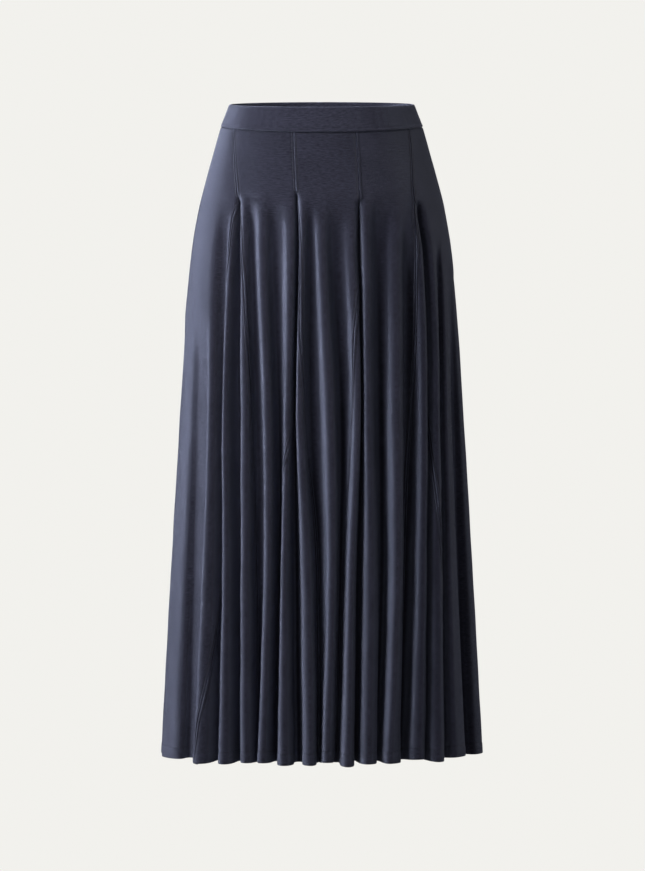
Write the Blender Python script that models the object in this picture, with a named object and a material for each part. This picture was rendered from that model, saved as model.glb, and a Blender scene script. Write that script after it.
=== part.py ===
"""A long black-blue knit skirt of ten panels with eight godets, hollow as worn.

Metres, +Z up, the front towards -Y, the wearer's left towards +X. The origin is
the middle of the waistband, inside the waist. Heights below it are negative.

The cloth is one draped surface, cut along the seams into pieces. A place on the
surface is a height and a phase. The phase counts folds round half the skirt:
fold 1 has its crest at 0.5 and the valley after it at 1, and so on to the side
seam at 15. The back half mirrors the front, with its own small unevenness.
"""

import math
from collections import namedtuple

import bmesh
import bpy
from mathutils import Vector

# Cloth
CLOTH = 0.0014            # wall of the knit
BAND_CLOTH = 0.003        # wall of the doubled waistband
SEAM_GAP = 0.0003         # between two pieces at a seam

# Heights
BAND_TOP = 0.0175
BAND_BOTTOM = -0.0175
FOLDS_START = -0.085      # no folds above this height
HEM = -0.889

# Folds
FOLD_COUNT = 15           # round half the skirt
FLUTE_DEPTH = 0.043       # crest to valley at the hem
ROUNDNESS = 1.1           # at the hem: 0 is a zigzag, over 1 the pipes overhang
ROUND_POWER = 0.4         # how the roundness grows downwards
CREST_SHARE = 0.3         # at the hem: over 0 makes the crests wider than the valleys
VALLEY_RISE = 0.002       # the hem is this much higher in a valley
WAIST_DIP = 0.004         # the waist seam is this much higher at the sides
BACK_SWAY = 2.5           # degrees of unevenness between front and back
BACK_DEPTH = 0.12         # share of unevenness in the back's depth

# The outline round the crests: half width, and depth to the front and to the back.
Level = namedtuple("Level", "z half_width front back")
OUTLINE = [
    Level(0.0175, 0.1275, 0.097, 0.097),
    Level(-0.0175, 0.139, 0.100, 0.101),
    Level(-0.046, 0.148, 0.105, 0.107),
    Level(-0.074, 0.156, 0.110, 0.113),
    Level(-0.105, 0.1655, 0.116, 0.120),
    Level(-0.185, 0.179, 0.124, 0.130),
    Level(-0.269, 0.188, 0.130, 0.134),
    Level(-0.394, 0.197, 0.137, 0.138),
    Level(-0.617, 0.2105, 0.145, 0.145),
    Level(-0.889, 0.2255, 0.152, 0.152),
]

# Each fold: where its crest lies, in degrees round from the front centre, at six heights.
# The valley after it lies at a share of the way to the next crest, at the hip and at the
# hem. It starts at a height, sets in over the length onset and grows downwards as the
# power says, to its share of FLUTE_DEPTH. set_in puts the crest inside the outline and
# rise lifts its hem, both at the hem.
FOLD_HEIGHTS = (BAND_BOTTOM, -0.105, -0.185, -0.394, -0.617, -0.889)
FOLD_COLUMNS = "waist apex hip thigh knee hem valley low_valley starts onset power depth set_in rise"
Fold = namedtuple("Fold", FOLD_COLUMNS)
FOLDS = [
    Fold(-84.0, -82.0, -80.0, -80.0, -81.0, -81.0, 0.90, 0.62, -0.250, 0.060, 0.90, 0.75, 0.000, 0.000),
    Fold(-75.0, -63.0, -60.0, -54.3, -52.7, -53.0, 0.60, 0.60, -0.108, 0.060, 0.70, 1.00, 0.000, -0.002),
    Fold(-65.0, -48.8, -46.8, -45.4, -41.6, -39.8, 0.28, 0.50, -0.103, 0.020, 0.40, 0.90, 0.000, 0.000),
    Fold(-53.3, -43.5, -39.0, -35.0, -32.8, -30.2, 0.38, 0.50, -0.092, 0.060, 0.50, 0.90, 0.002, 0.003),
    Fold(-37.0, -32.4, -29.8, -24.6, -22.5, -23.8, 0.40, 0.50, -0.092, 0.060, 0.50, 1.05, 0.000, 0.004),
    Fold(-21.5, -16.6, -15.0, -15.6, -16.6, -15.9, 0.38, 0.50, -0.097, 0.020, 0.40, 0.95, 0.000, 0.001),
    Fold(-13.5, -11.5, -10.7, -11.5, -7.7, -5.8, 0.40, 0.52, -0.095, 0.060, 0.50, 0.90, 0.002, 0.001),
    Fold(-3.0, -2.5, -2.0, 1.4, 2.2, -0.4, 0.43, 0.52, -0.095, 0.070, 0.50, 0.95, 0.003, 0.005),
    Fold(12.0, 13.6, 12.7, 13.2, 9.4, 7.4, 0.50, 0.50, -0.108, 0.020, 0.40, 1.20, 0.000, -0.001),
    Fold(23.0, 19.0, 17.7, 16.4, 16.6, 14.6, 0.42, 0.76, -0.095, 0.060, 0.50, 0.95, 0.002, 0.002),
    Fold(41.0, 39.3, 35.3, 31.6, 28.2, 22.4, 0.38, 0.70, -0.095, 0.060, 0.50, 1.00, 0.000, 0.002),
    Fold(57.5, 47.3, 46.5, 43.2, 39.2, 34.8, 0.50, 0.62, -0.108, 0.020, 0.45, 1.00, 0.004, 0.005),
    Fold(70.0, 61.5, 57.8, 52.4, 48.2, 44.4, 0.50, 0.56, -0.140, 0.050, 0.70, 0.95, 0.000, 0.000),
    Fold(79.0, 72.0, 66.8, 59.3, 56.2, 54.4, 0.48, 0.54, -0.160, 0.060, 0.75, 1.05, 0.000, 0.004),
    Fold(86.0, 84.0, 82.0, 80.0, 80.0, 81.0, 0.50, 0.50, -0.200, 0.060, 0.70, 0.90, 0.000, 0.002),
]

# The two edges of each godet, as phases at six heights below its apex.
SEAM_HEIGHTS = (-0.185, -0.269, -0.394, -0.505, -0.617, -0.889)
Seam = namedtuple("Seam", "apex_z apex hip low_hip thigh mid_thigh knee hem")
SEAMS = {
    "right_side": Seam(-0.105, 0.0, 0.0, 0.0, 0.0, 0.0, 0.0, 0.0),
    "right_outer_a": Seam(-0.105, 3.0, 2.40, 2.15, 2.08, 2.04, 1.97, 1.46),
    "right_outer_b": Seam(-0.105, 3.0, 3.48, 3.56, 3.70, 3.80, 3.85, 3.90),
    "right_inner_a": Seam(-0.099, 6.0, 5.94, 5.93, 5.76, 5.28, 5.18, 5.12),
    "right_inner_b": Seam(-0.099, 6.0, 6.37, 6.47, 6.68, 6.88, 6.95, 7.00),
    "left_inner_a": Seam(-0.111, 9.0, 8.77, 8.47, 8.29, 8.18, 8.12, 8.05),
    "left_inner_b": Seam(-0.111, 9.0, 9.19, 9.19, 9.19, 9.19, 9.19, 9.19),
    "left_outer_a": Seam(-0.111, 11.5, 11.42, 11.36, 11.25, 11.10, 11.02, 10.95),
    "left_outer_b": Seam(-0.111, 11.5, 12.05, 12.12, 12.20, 12.40, 12.60, 13.00),
    "left_side": Seam(-0.105, 15.0, 15.0, 15.0, 15.0, 15.0, 15.0, 15.0),
}

# Each piece of one half, and the seams that it lies between.
Piece = namedtuple("Piece", "name first last")
GORES = [
    Piece("gore_side_{}_right", "right_side", "right_outer_a"),
    Piece("gore_{}_right", "right_outer_b", "right_inner_a"),
    Piece("gore_{}_centre", "right_inner_b", "left_inner_a"),
    Piece("gore_{}_left", "left_inner_b", "left_outer_a"),
    Piece("gore_side_{}_left", "left_outer_b", "left_side"),
]
GODETS = [
    Piece("godet_{}_right_outer", "right_outer_a", "right_outer_b"),
    Piece("godet_{}_right_inner", "right_inner_a", "right_inner_b"),
    Piece("godet_{}_left_inner", "left_inner_a", "left_inner_b"),
    Piece("godet_{}_left_outer", "left_outer_a", "left_outer_b"),
]

# The flat grid that each piece is cut from: rows at these heights, and columns that
# follow the folds. A godet starts a little under its apex, where it has some width.
ROWS = (BAND_BOTTOM - SEAM_GAP, -0.060, -0.099, -0.105, -0.111, -0.117, -0.129, -0.145, -0.185, -0.269,
        -0.394, -0.505, -0.617, -0.755, HEM)
STRIPS_PER_FOLD = 8
GODET_TIP = 0.006         # one row under the apex
FOLD_WIDTH = 0.035        # of one fold in the flat grid
CUT_SNAP = 0.001          # a corner of the grid this near a cut counts as on it

BAND_STRIPS = 30          # facets round half the waist
COLOURS = {"gore": (0.045, 0.048, 0.072), "godet": (0.055, 0.060, 0.090), "waistband": (0.035, 0.037, 0.055)}
CLOTH_ROUGHNESS = 0.85


def smooth(stations, z):
    """Value at height z on a smooth curve through (height, value) pairs, highest first."""
    if z >= stations[0][0]:
        return stations[0][1]
    if z <= stations[-1][0]:
        return stations[-1][1]
    last = len(stations) - 1
    k = next(i for i in range(last) if z >= stations[i + 1][0])

    def slope(i):
        before, after = stations[max(i - 1, 0)], stations[min(i + 1, last)]
        return (after[1] - before[1]) / (after[0] - before[0])

    (z0, v0), (z1, v1) = stations[k], stations[k + 1]
    h = z1 - z0
    t = (z - z0) / h
    return ((1 + 2 * t) * (1 - t) ** 2 * v0 + t * (1 - t) ** 2 * h * slope(k)
            + t * t * (3 - 2 * t) * v1 + t * t * (t - 1) * h * slope(k + 1))


def crest_angle(number, z):
    """Degrees round from the front centre to the crest of a fold, at a height."""
    if number < 1:
        return -180.0 - crest_angle(1, z)
    if number > FOLD_COUNT:
        return 180.0 - crest_angle(FOLD_COUNT, z)
    fold = FOLDS[number - 1]
    angles = (fold.waist, fold.apex, fold.hip, fold.thigh, fold.knee, fold.hem)
    return smooth(list(zip(FOLD_HEIGHTS, angles)), z)


def grown(start, z):
    """How far a fold that begins at a height has grown at z: 0 there, 1 at the hem."""
    return max(0.0, (start - z) / (start - HEM))


def valley(number, z):
    """Angle and depth of the valley after a fold."""
    row = FOLDS[min(max(number, 1), FOLD_COUNT) - 1]
    before, after = crest_angle(number, z), crest_angle(number + 1, z)
    is_between = 1 <= number < FOLD_COUNT
    share = row.valley + (row.low_valley - row.valley) * grown(FOLDS_START, z) if is_between else 0.5
    s = min(1.0, max(0.0, (row.starts - z) / row.onset))
    depth = FLUTE_DEPTH * row.depth * grown(row.starts, z) ** row.power * s * s * (3 - 2 * s)
    return before + (after - before) * share, depth


def side_lift(e, z):
    """How much higher the waist seam lies at an angle round than at the front centre."""
    near = max(0.0, 1 - abs(z - BAND_BOTTOM) / (BAND_TOP - BAND_BOTTOM))
    return WAIST_DIP * near * math.sin(e) ** 2


def drape(phase, z, is_back):
    """Point of the cloth's middle surface at a phase and a height."""
    number = min(max(math.floor(phase + 0.5), 0), FOLD_COUNT)
    towards = 1 if phase >= number else -1
    crest_number = number + 1 if towards > 0 else number
    share = min(1.0, abs(phase - number) * 2)
    u = 1 - share                                  # 0 on the crest, 1 in the valley
    row = FOLDS[min(max(crest_number, 1), FOLD_COUNT) - 1]
    valley_angle, depth = valley(number, z)
    top_angle = crest_angle(crest_number, z)
    t = grown(FOLDS_START, z)
    round_share = ROUNDNESS * t ** ROUND_POWER
    bulge = round_share * math.sin(2 * math.pi * u) + CREST_SHARE * t * (1 - math.cos(2 * math.pi * u))
    angle = top_angle + (valley_angle - top_angle) * (u + bulge / (2 * math.pi))
    in_valley = (1 - math.cos(math.pi * u)) / 2
    inward = depth * in_valley + row.set_in * t * (1 - in_valley)
    lift = (row.rise * (1 - in_valley) + VALLEY_RISE * in_valley) * t ** 4 + side_lift(math.radians(angle), z)
    if is_back:
        inward *= 1 + BACK_DEPTH * math.sin(math.radians(4 * angle))
        angle += BACK_SWAY * math.sin(math.radians(3 * angle)) * math.cos(math.radians(angle))
    e = math.radians(angle)
    half_width = smooth([(level.z, level.half_width) for level in OUTLINE], z)
    front = smooth([(level.z, level.back if is_back else level.front) for level in OUTLINE], z)
    outward = Vector((math.sin(e) / half_width, -math.cos(e) / front, 0)).normalized()
    point = Vector((half_width * math.sin(e), -front * math.cos(e), z + lift)) - outward * inward
    if is_back:
        point.y = -point.y
    return point


STEP_PHASE = 0.004        # steps for measuring directions on the surface
STEP_HEIGHT = 0.002


def directions(phase, z, is_back):
    """Unit tangent along the phase and outward unit normal of the cloth."""
    along = drape(phase + STEP_PHASE, z, is_back) - drape(phase - STEP_PHASE, z, is_back)
    down = drape(phase, z - STEP_HEIGHT, is_back) - drape(phase, z + STEP_HEIGHT, is_back)
    normal = along.cross(down).normalized()
    if not is_back:
        normal.negate()
    return along.normalized(), normal


def seam_phase(seam, z):
    """Phase of a seam at a height: straight down to its apex, then curved."""
    below = (seam.hip, seam.low_hip, seam.thigh, seam.mid_thigh, seam.knee, seam.hem)
    return smooth([(seam.apex_z, seam.apex)] + list(zip(SEAM_HEIGHTS, below)), z)


def seam_corners(seam):
    """The seam as corners (x, z) on the flat grid, one on each row, straight between rows."""
    return [(seam_phase(seam, z) * FOLD_WIDTH, z) for z in ROWS]


def seam_x(corners, z):
    """Where a seam lies on the flat grid at any height."""
    for (x0, z0), (x1, z1) in zip(corners, corners[1:]):
        if z >= z1:
            return x0 + (x1 - x0) * (z - z0) / (z1 - z0)
    return corners[-1][0]


def mesh_object(name, bm):
    """Finish a closed bmesh as a named object with the colour of its kind."""
    bmesh.ops.recalc_face_normals(bm, faces=bm.faces)
    if bm.calc_volume(signed=True) < 0:
        bmesh.ops.reverse_faces(bm, faces=bm.faces)
    mesh = bpy.data.meshes.new(name)
    bm.to_mesh(mesh)
    bm.free()
    mesh.set_sharp_from_angle(angle=math.radians(40))
    kind = name.split("_")[0]
    mesh.materials.append(MATERIALS[kind])
    part = bpy.data.objects.new(name, mesh)
    bpy.context.scene.collection.objects.link(part)


def raise_wall(bm, spots, wall):
    """Turn a flat mesh into a closed wall: an outer skin, an inner skin and the rims between.

    spots gives the middle point and the outward normal for each place on the flat mesh.
    The rims of two pieces are split the same way, so they run side by side along a seam.
    """
    skin = list(bm.faces)
    outer = set(bm.verts)
    raised = bmesh.ops.extrude_face_region(bm, geom=skin, use_keep_orig=True)
    inner = {item for item in raised["geom"] if isinstance(item, bmesh.types.BMVert)}
    for face in [face for face in bm.faces if len(face.verts) == 4]:
        upper = max((v for v in face.verts if v in outer), key=lambda v: (v.co.y, v.co.x))
        lower = min((v for v in face.verts if v in inner), key=lambda v: (v.co.y, v.co.x))
        bmesh.utils.face_split(face, upper, lower)
    for verts, side in ((outer, 1), (inner, -1)):
        for vert in verts:
            point, normal = spots[tuple(vert.co)]
            vert.co = point + normal * side * wall / 2


def cut_flat(first, last, top):
    """The flat grid between two seams and below a height, cut along both, in triangles."""
    left = min(x for x, z in first)
    right = max(x for x, z in last)
    strip = FOLD_WIDTH / STRIPS_PER_FOLD
    start = math.floor(left / strip + CUT_SNAP)
    count = math.ceil(right / strip - CUT_SNAP) - start
    rows = [z for z in ROWS if z <= top + CUT_SNAP]
    bm = bmesh.new()
    bmesh.ops.create_grid(bm, x_segments=count, y_segments=len(rows) - 1, size=1.0)
    for vert in bm.verts:
        i = round((vert.co.x + 1) / 2 * count)
        j = round((1 - vert.co.y) / 2 * (len(rows) - 1))
        vert.co = ((start + i) * strip, rows[j], 0)
    for corners in (first, last):
        for (x0, z0), (x1, z1) in zip(corners, corners[1:]):
            faces = [face for face in bm.faces if z1 < face.calc_center_median().y < z0]
            near = set(faces) | {e for face in faces for e in face.edges} | {v for face in faces for v in face.verts}
            if faces:
                across = Vector((z0 - z1, x1 - x0, 0)).normalized()
                bmesh.ops.bisect_plane(bm, geom=list(near), dist=CUT_SNAP / 2, plane_co=(x0, z0, 0), plane_no=across)
    outside = []
    for face in bm.faces:
        centre = face.calc_center_median()
        if not seam_x(first, centre.y) < centre.x < seam_x(last, centre.y):
            outside.append(face)
    bmesh.ops.delete(bm, geom=outside, context="FACES")
    bmesh.ops.triangulate(bm, faces=bm.faces)
    return bm


def make_panel(piece, side, with_top):
    """A gore, from the waist seam to the hem, or a godet, from its tip to the hem."""
    is_back = side == "back"
    seams = SEAMS[piece.first], SEAMS[piece.last]
    first, last = (seam_corners(seam) for seam in seams)
    top = ROWS[0] if with_top else seams[0].apex_z - GODET_TIP
    bm = cut_flat(first, last, top)
    spots = {}
    for vert in bm.verts:
        x, z = vert.co.x, vert.co.y
        tangent, normal = directions(x / FOLD_WIDTH, z, is_back)
        point = drape(x / FOLD_WIDTH, z, is_back)
        if vert.is_boundary:
            to_first = abs(x - seam_x(first, z))
            to_last = abs(x - seam_x(last, z))
            if min(to_first, to_last) < CUT_SNAP:
                point += tangent * (SEAM_GAP / 2 if to_first < to_last else -SEAM_GAP / 2)
        spots[tuple(vert.co)] = (point, normal)
    raise_wall(bm, spots, CLOTH)
    mesh_object(piece.name.format(side), bm)


def make_band(side):
    """Half of the waistband, from side seam to side seam."""
    sign = 1 if side == "back" else -1
    inset = BAND_CLOTH / 2 - CLOTH / 2
    bm = bmesh.new()
    bmesh.ops.create_grid(bm, x_segments=BAND_STRIPS, y_segments=1, size=1.0)
    spots = {}
    for vert in bm.verts:
        z = BAND_TOP if vert.co.y > 0 else BAND_BOTTOM
        half_width = smooth([(level.z, level.half_width) for level in OUTLINE], z)
        depth = smooth([(level.z, level.back if side == "back" else level.front) for level in OUTLINE], z)
        e = math.radians(90 * vert.co.x)
        outward = Vector((math.sin(e) / half_width, sign * math.cos(e) / depth, 0)).normalized()
        high = z + side_lift(e, z)
        point = Vector((half_width * math.sin(e), sign * depth * math.cos(e), high)) - outward * inset
        if abs(vert.co.x) > 1 - CUT_SNAP:
            point.y = sign * SEAM_GAP / 2
            outward = Vector((math.copysign(1, vert.co.x), 0, 0))
        spots[tuple(vert.co)] = (point, outward)
    bmesh.ops.triangulate(bm, faces=bm.faces)
    raise_wall(bm, spots, BAND_CLOTH)
    mesh_object("waistband_" + side, bm)


def make_material(kind, colour):
    """A plain knit colour for one kind of piece."""
    material = bpy.data.materials.new("knit_" + kind)
    material.use_nodes = True
    shader = material.node_tree.nodes["Principled BSDF"]
    shader.inputs["Base Color"].default_value = (*colour, 1)
    shader.inputs["Roughness"].default_value = CLOTH_ROUGHNESS
    shader.inputs["Metallic"].default_value = 0.0
    return material


for old in list(bpy.data.objects):
    bpy.data.objects.remove(old, do_unlink=True)

MATERIALS = {kind: make_material(kind, colour) for kind, colour in COLOURS.items()}
for half in ("front", "back"):
    make_band(half)
    for gore in GORES:
        make_panel(gore, half, with_top=True)
    for godet in GODETS:
        make_panel(godet, half, with_top=False)
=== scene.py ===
"""The looks of a godet maxi skirt: fine blue-black knit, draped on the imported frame.

Metres, +Z up, the front towards -Y, the wearer's left towards +X. The origin is the
middle of the waistband. The cloth is one draped surface, cut along its seams. A place
on it is a height and a phase, which counts folds round half the skirt: fold 1 has its
crest at 0.5 and the valley after it at 1, and so on to the side seam at 15.
"""

import logging
import math
from dataclasses import dataclass
from enum import Enum
from functools import lru_cache

import bmesh
import bpy
import numpy as np
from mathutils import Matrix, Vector


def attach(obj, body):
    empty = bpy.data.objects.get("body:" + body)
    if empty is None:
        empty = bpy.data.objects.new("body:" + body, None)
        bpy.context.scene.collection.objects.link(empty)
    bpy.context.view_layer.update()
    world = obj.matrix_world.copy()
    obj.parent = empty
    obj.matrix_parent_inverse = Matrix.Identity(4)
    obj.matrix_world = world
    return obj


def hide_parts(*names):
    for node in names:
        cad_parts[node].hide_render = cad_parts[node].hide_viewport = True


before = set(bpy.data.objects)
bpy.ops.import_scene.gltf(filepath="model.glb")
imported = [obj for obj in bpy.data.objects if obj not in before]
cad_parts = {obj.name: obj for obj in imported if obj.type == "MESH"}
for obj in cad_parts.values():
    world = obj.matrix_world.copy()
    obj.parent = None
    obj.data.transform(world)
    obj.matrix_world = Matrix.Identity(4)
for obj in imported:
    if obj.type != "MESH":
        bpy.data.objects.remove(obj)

LOG = logging.getLogger("skirt")
MM = 0.001

# Heights of the garment
BAND_TOP = 0.0175
BAND_BOTTOM = -0.0175
FOLDS_START = -0.085
HEM = -0.889

# Folds: the solids', with the crests' share made to grow late and reach further
FOLD_COUNT = 15
FLUTE_DEPTH = 0.043
ROUNDNESS = 1.1
ROUND_POWER = 0.4
CREST_SHARE = 0.45
PINCH_FADE = 8
VALLEY_RISE = 0.002
WAIST_DIP = 0.004
BACK_SWAY = 2.5
BACK_DEPTH = 0.12
SOLID_WALL = 1.4 * MM
TURN = 2 * math.pi


class Side(Enum):
    """The two halves of the skirt."""

    FRONT = "front"
    BACK = "back"


@dataclass(frozen=True)
class Level:
    """The outline round the crests at one height."""

    z: float
    half_width: float
    front: float
    back: float


OUTLINE = (
    Level(0.0175, 0.1275, 0.097, 0.097),
    Level(-0.0175, 0.139, 0.1, 0.101),
    Level(-0.046, 0.148, 0.105, 0.107),
    Level(-0.074, 0.156, 0.11, 0.113),
    Level(-0.105, 0.164, 0.1155, 0.1195),
    Level(-0.129, 0.1695, 0.119, 0.1238),
    Level(-0.185, 0.179, 0.124, 0.13),
    Level(-0.269, 0.188, 0.13, 0.134),
    Level(-0.394, 0.197, 0.137, 0.138),
    Level(-0.617, 0.2105, 0.145, 0.145),
    Level(-0.889, 0.2255, 0.152, 0.152),
)


@dataclass(frozen=True)
class Fold:
    """One fold: its crest's angle in degrees at six heights, and the valley after it.

    The valley lies at a share of the way to the next crest, at the hip and at the hem. It
    starts at a height and sets in over a length; pinch makes it narrow where it starts, and
    open makes it wide half-way down.
    """

    waist: float
    apex: float
    hip: float
    thigh: float
    knee: float
    hem: float
    valley: float
    low_valley: float
    starts: float
    onset: float
    pinch: float
    open: float
    power: float
    depth: float
    set_in: float
    rise: float


FOLD_HEIGHTS = (BAND_BOTTOM, -0.105, -0.185, -0.394, -0.617, -0.889)
FOLDS = (
    Fold(-84, -82, -80, -80, -81, -81, 0.9, 0.86, -0.25, 0.08, 0, -0.15, 0.9, 0.58, 0, 0),
    Fold(-75, -63, -60, -54.3, -52.7, -53, 0.6, 0.6, -0.108, 0.06, 0, 0, 0.7, 1, 0, -0.002),
    Fold(-65, -48.8, -46.8, -45.4, -41.6, -39.8, 0.28, 0.5, -0.101, 0.014, 0.85, 0.2, 0.33, 0.9, 0, 0),
    Fold(-53.3, -43.5, -39, -35, -32.8, -30.2, 0.38, 0.5, -0.092, 0.06, 0, 0.25, 0.5, 0.9, 0.002, 0.003),
    Fold(-37, -32.4, -29.8, -24.6, -22.5, -23.8, 0.4, 0.5, -0.092, 0.06, 0, 0.25, 0.5, 1.05, 0, 0.004),
    Fold(-21.5, -16.6, -15, -15.6, -16.6, -15.9, 0.38, 0.5, -0.094, 0.014, 0.85, 0, 0.33, 0.95, 0, 0.001),
    Fold(-13.5, -11.5, -10.7, -11.5, -7.7, -5.8, 0.4, 0.52, -0.095, 0.06, 0, 0.4, 0.5, 0.9, 0.002, 0.001),
    Fold(-3, -2.5, -2, 1.4, 2.2, -0.4, 0.43, 0.52, -0.095, 0.07, 0, 0.35, 0.5, 0.95, 0.003, 0.005),
    Fold(12, 13.6, 12.7, 13.2, 9.4, 7.4, 0.5, 0.5, -0.105, 0.014, 0.85, 0, 0.34, 1.2, 0, -0.001),
    Fold(23, 19, 17.7, 16.4, 16.6, 14.6, 0.42, 0.76, -0.095, 0.06, 0, 0.25, 0.5, 0.95, 0.002, 0.002),
    Fold(41, 39.3, 34.2, 30.6, 28.2, 22.4, 0.42, 0.66, -0.115, 0.12, 0, 0.75, 0.5, 1, 0, 0.002),
    Fold(57.5, 48, 48.4, 45.6, 41.2, 36.2, 0.2, 0.52, -0.107, 0.018, 0.8, 0, 0.45, 1, 0.004, 0.005),
    Fold(70, 61.5, 57.8, 52.8, 49, 44.8, 0.5, 0.56, -0.14, 0.07, 0, 0, 0.7, 0.7, 0, 0),
    Fold(79, 72, 66.8, 59.6, 56.2, 54.4, 0.48, 0.54, -0.16, 0.1, 0, 0, 0.75, 0.6, 0, 0.004),
    Fold(86, 84, 82, 80, 80, 81, 0.5, 0.5, -0.2, 0.06, 0, 0, 0.7, 0.9, 0, 0.002),
)


@dataclass(frozen=True)
class Seam:
    """One edge of a godet: the height and phase of its apex, and its phases below."""

    apex_z: float
    apex: float
    below: tuple[float, ...]


SEAM_HEIGHTS = (-0.130, -0.185, -0.269, -0.394, -0.505, -0.617, -0.889)
SEAMS = {
    "right_side": Seam(-0.105, 0.0, (0.0,) * 7),
    "right_outer_a": Seam(-0.105, 3.0, (2.46, 2.38, 2.15, 2.08, 2.04, 1.90, 1.40)),
    "right_outer_b": Seam(-0.105, 3.0, (3.28, 3.42, 3.56, 3.70, 3.80, 3.85, 3.90)),
    "right_inner_a": Seam(-0.099, 6.0, (5.95, 5.94, 5.93, 5.76, 5.28, 5.18, 5.12)),
    "right_inner_b": Seam(-0.099, 6.0, (6.26, 6.38, 6.47, 6.68, 6.88, 6.95, 7.00)),
    "left_inner_a": Seam(-0.111, 9.0, (8.88, 8.77, 8.47, 8.29, 8.18, 8.12, 8.05)),
    "left_inner_b": Seam(-0.111, 9.0, (9.15, 9.19, 9.19, 9.19, 9.19, 9.19, 9.19)),
    "left_outer_a": Seam(-0.111, 11.5, (11.42, 11.30, 11.22, 11.12, 11.04, 11.00, 10.95)),
    "left_outer_b": Seam(-0.111, 11.5, (11.80, 12.05, 12.12, 12.20, 12.40, 12.60, 13.00)),
    "left_side": Seam(-0.105, 15.0, (15.0,) * 7),
}


def smooth(stations: list[tuple[float, float]], z: float) -> float:
    """Read a smooth curve through (height, value) pairs.

    Args:
        stations: Pairs of height and value, highest first.
        z: The height to read at.

    Returns:
        The value at that height.
    """
    if z >= stations[0][0]:
        return stations[0][1]
    if z <= stations[-1][0]:
        return stations[-1][1]
    last = len(stations) - 1
    k = next(i for i in range(last) if z >= stations[i + 1][0])

    def slope(i: int) -> float:
        """Slope at a station, from its neighbours."""
        before, after = stations[max(i - 1, 0)], stations[min(i + 1, last)]
        return (after[1] - before[1]) / (after[0] - before[0])

    (z0, v0), (z1, v1) = stations[k], stations[k + 1]
    h = z1 - z0
    t = (z - z0) / h
    return (
        (1 + 2 * t) * (1 - t) ** 2 * v0
        + t * (1 - t) ** 2 * h * slope(k)
        + t * t * (3 - 2 * t) * v1
        + t * t * (t - 1) * h * slope(k + 1)
    )


def outline(part: str, z: float) -> float:
    """Half width, front depth or back depth of the outline at a height."""
    return smooth([(level.z, getattr(level, part)) for level in OUTLINE], z)


def crest_angle(number: int, z: float) -> float:
    """Degrees round from the front centre to the crest of a fold, at a height."""
    if number < 1:
        return -180.0 - crest_angle(1, z)
    if number > FOLD_COUNT:
        return 180.0 - crest_angle(FOLD_COUNT, z)
    fold = FOLDS[number - 1]
    angles = (fold.waist, fold.apex, fold.hip, fold.thigh, fold.knee, fold.hem)
    return smooth(list(zip(FOLD_HEIGHTS, angles)), z)


def grown(start: float, z: float) -> float:
    """How far a fold that begins at a height has grown at z: 0 there, 1 at the hem."""
    return max(0.0, (start - z) / (start - HEM))


def set_in_at(fold: Fold, z: float) -> float:
    """How far a fold's valley has set in at a height, from 0 to 1."""
    s = min(1.0, max(0.0, (fold.starts - z) / fold.onset))
    return s * s * (3 - 2 * s)


def side_lift(sine: np.ndarray, z: float) -> np.ndarray:
    """How much higher the waist seam lies at the sides than at the front centre."""
    near = max(0.0, 1 - abs(z - BAND_BOTTOM) / (BAND_TOP - BAND_BOTTOM))
    return WAIST_DIP * near * sine**2


def seam_phase(name: str, z: float) -> float:
    """Phase of a seam at a height: straight down to its apex, then curved."""
    seam = SEAMS[name]
    return smooth([(seam.apex_z, seam.apex)] + list(zip(SEAM_HEIGHTS, seam.below)), z)


@lru_cache(maxsize=None)
def fold_rows(z: float) -> tuple[np.ndarray, ...]:
    """Everything about the folds that depends on the height alone.

    Args:
        z: The height.

    Returns:
        Crest angles from fold 0 to 16, and valley angles, depths and narrowness from 0 to 15.
    """
    crests = np.array([crest_angle(n, z) for n in range(FOLD_COUNT + 2)])
    t = grown(FOLDS_START, z)
    angles, depths, narrow = [], [], []
    for number in range(FOLD_COUNT + 1):
        row = FOLDS[max(number, 1) - 1]
        share = row.valley + (row.low_valley - row.valley) * t if 1 <= number < FOLD_COUNT else 0.5
        narrow.append(CREST_SHARE * t * t + row.pinch * (1 - t) ** PINCH_FADE - row.open * 4 * t * (1 - t))
        angles.append(crests[number] + (crests[number + 1] - crests[number]) * share)
        depths.append(FLUTE_DEPTH * row.depth * grown(row.starts, z) ** row.power * set_in_at(row, z))
    return crests, np.array(angles), np.array(depths), np.array(narrow)


SET_IN = np.array([fold.set_in for fold in FOLDS])
RISE = np.array([fold.rise for fold in FOLDS])
TINY = 1e-12


def unit(rows: np.ndarray) -> np.ndarray:
    """Rows of vectors, each made one long, where it isn't zero."""
    return rows / np.maximum(np.linalg.norm(rows, axis=-1, keepdims=True), TINY)


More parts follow.
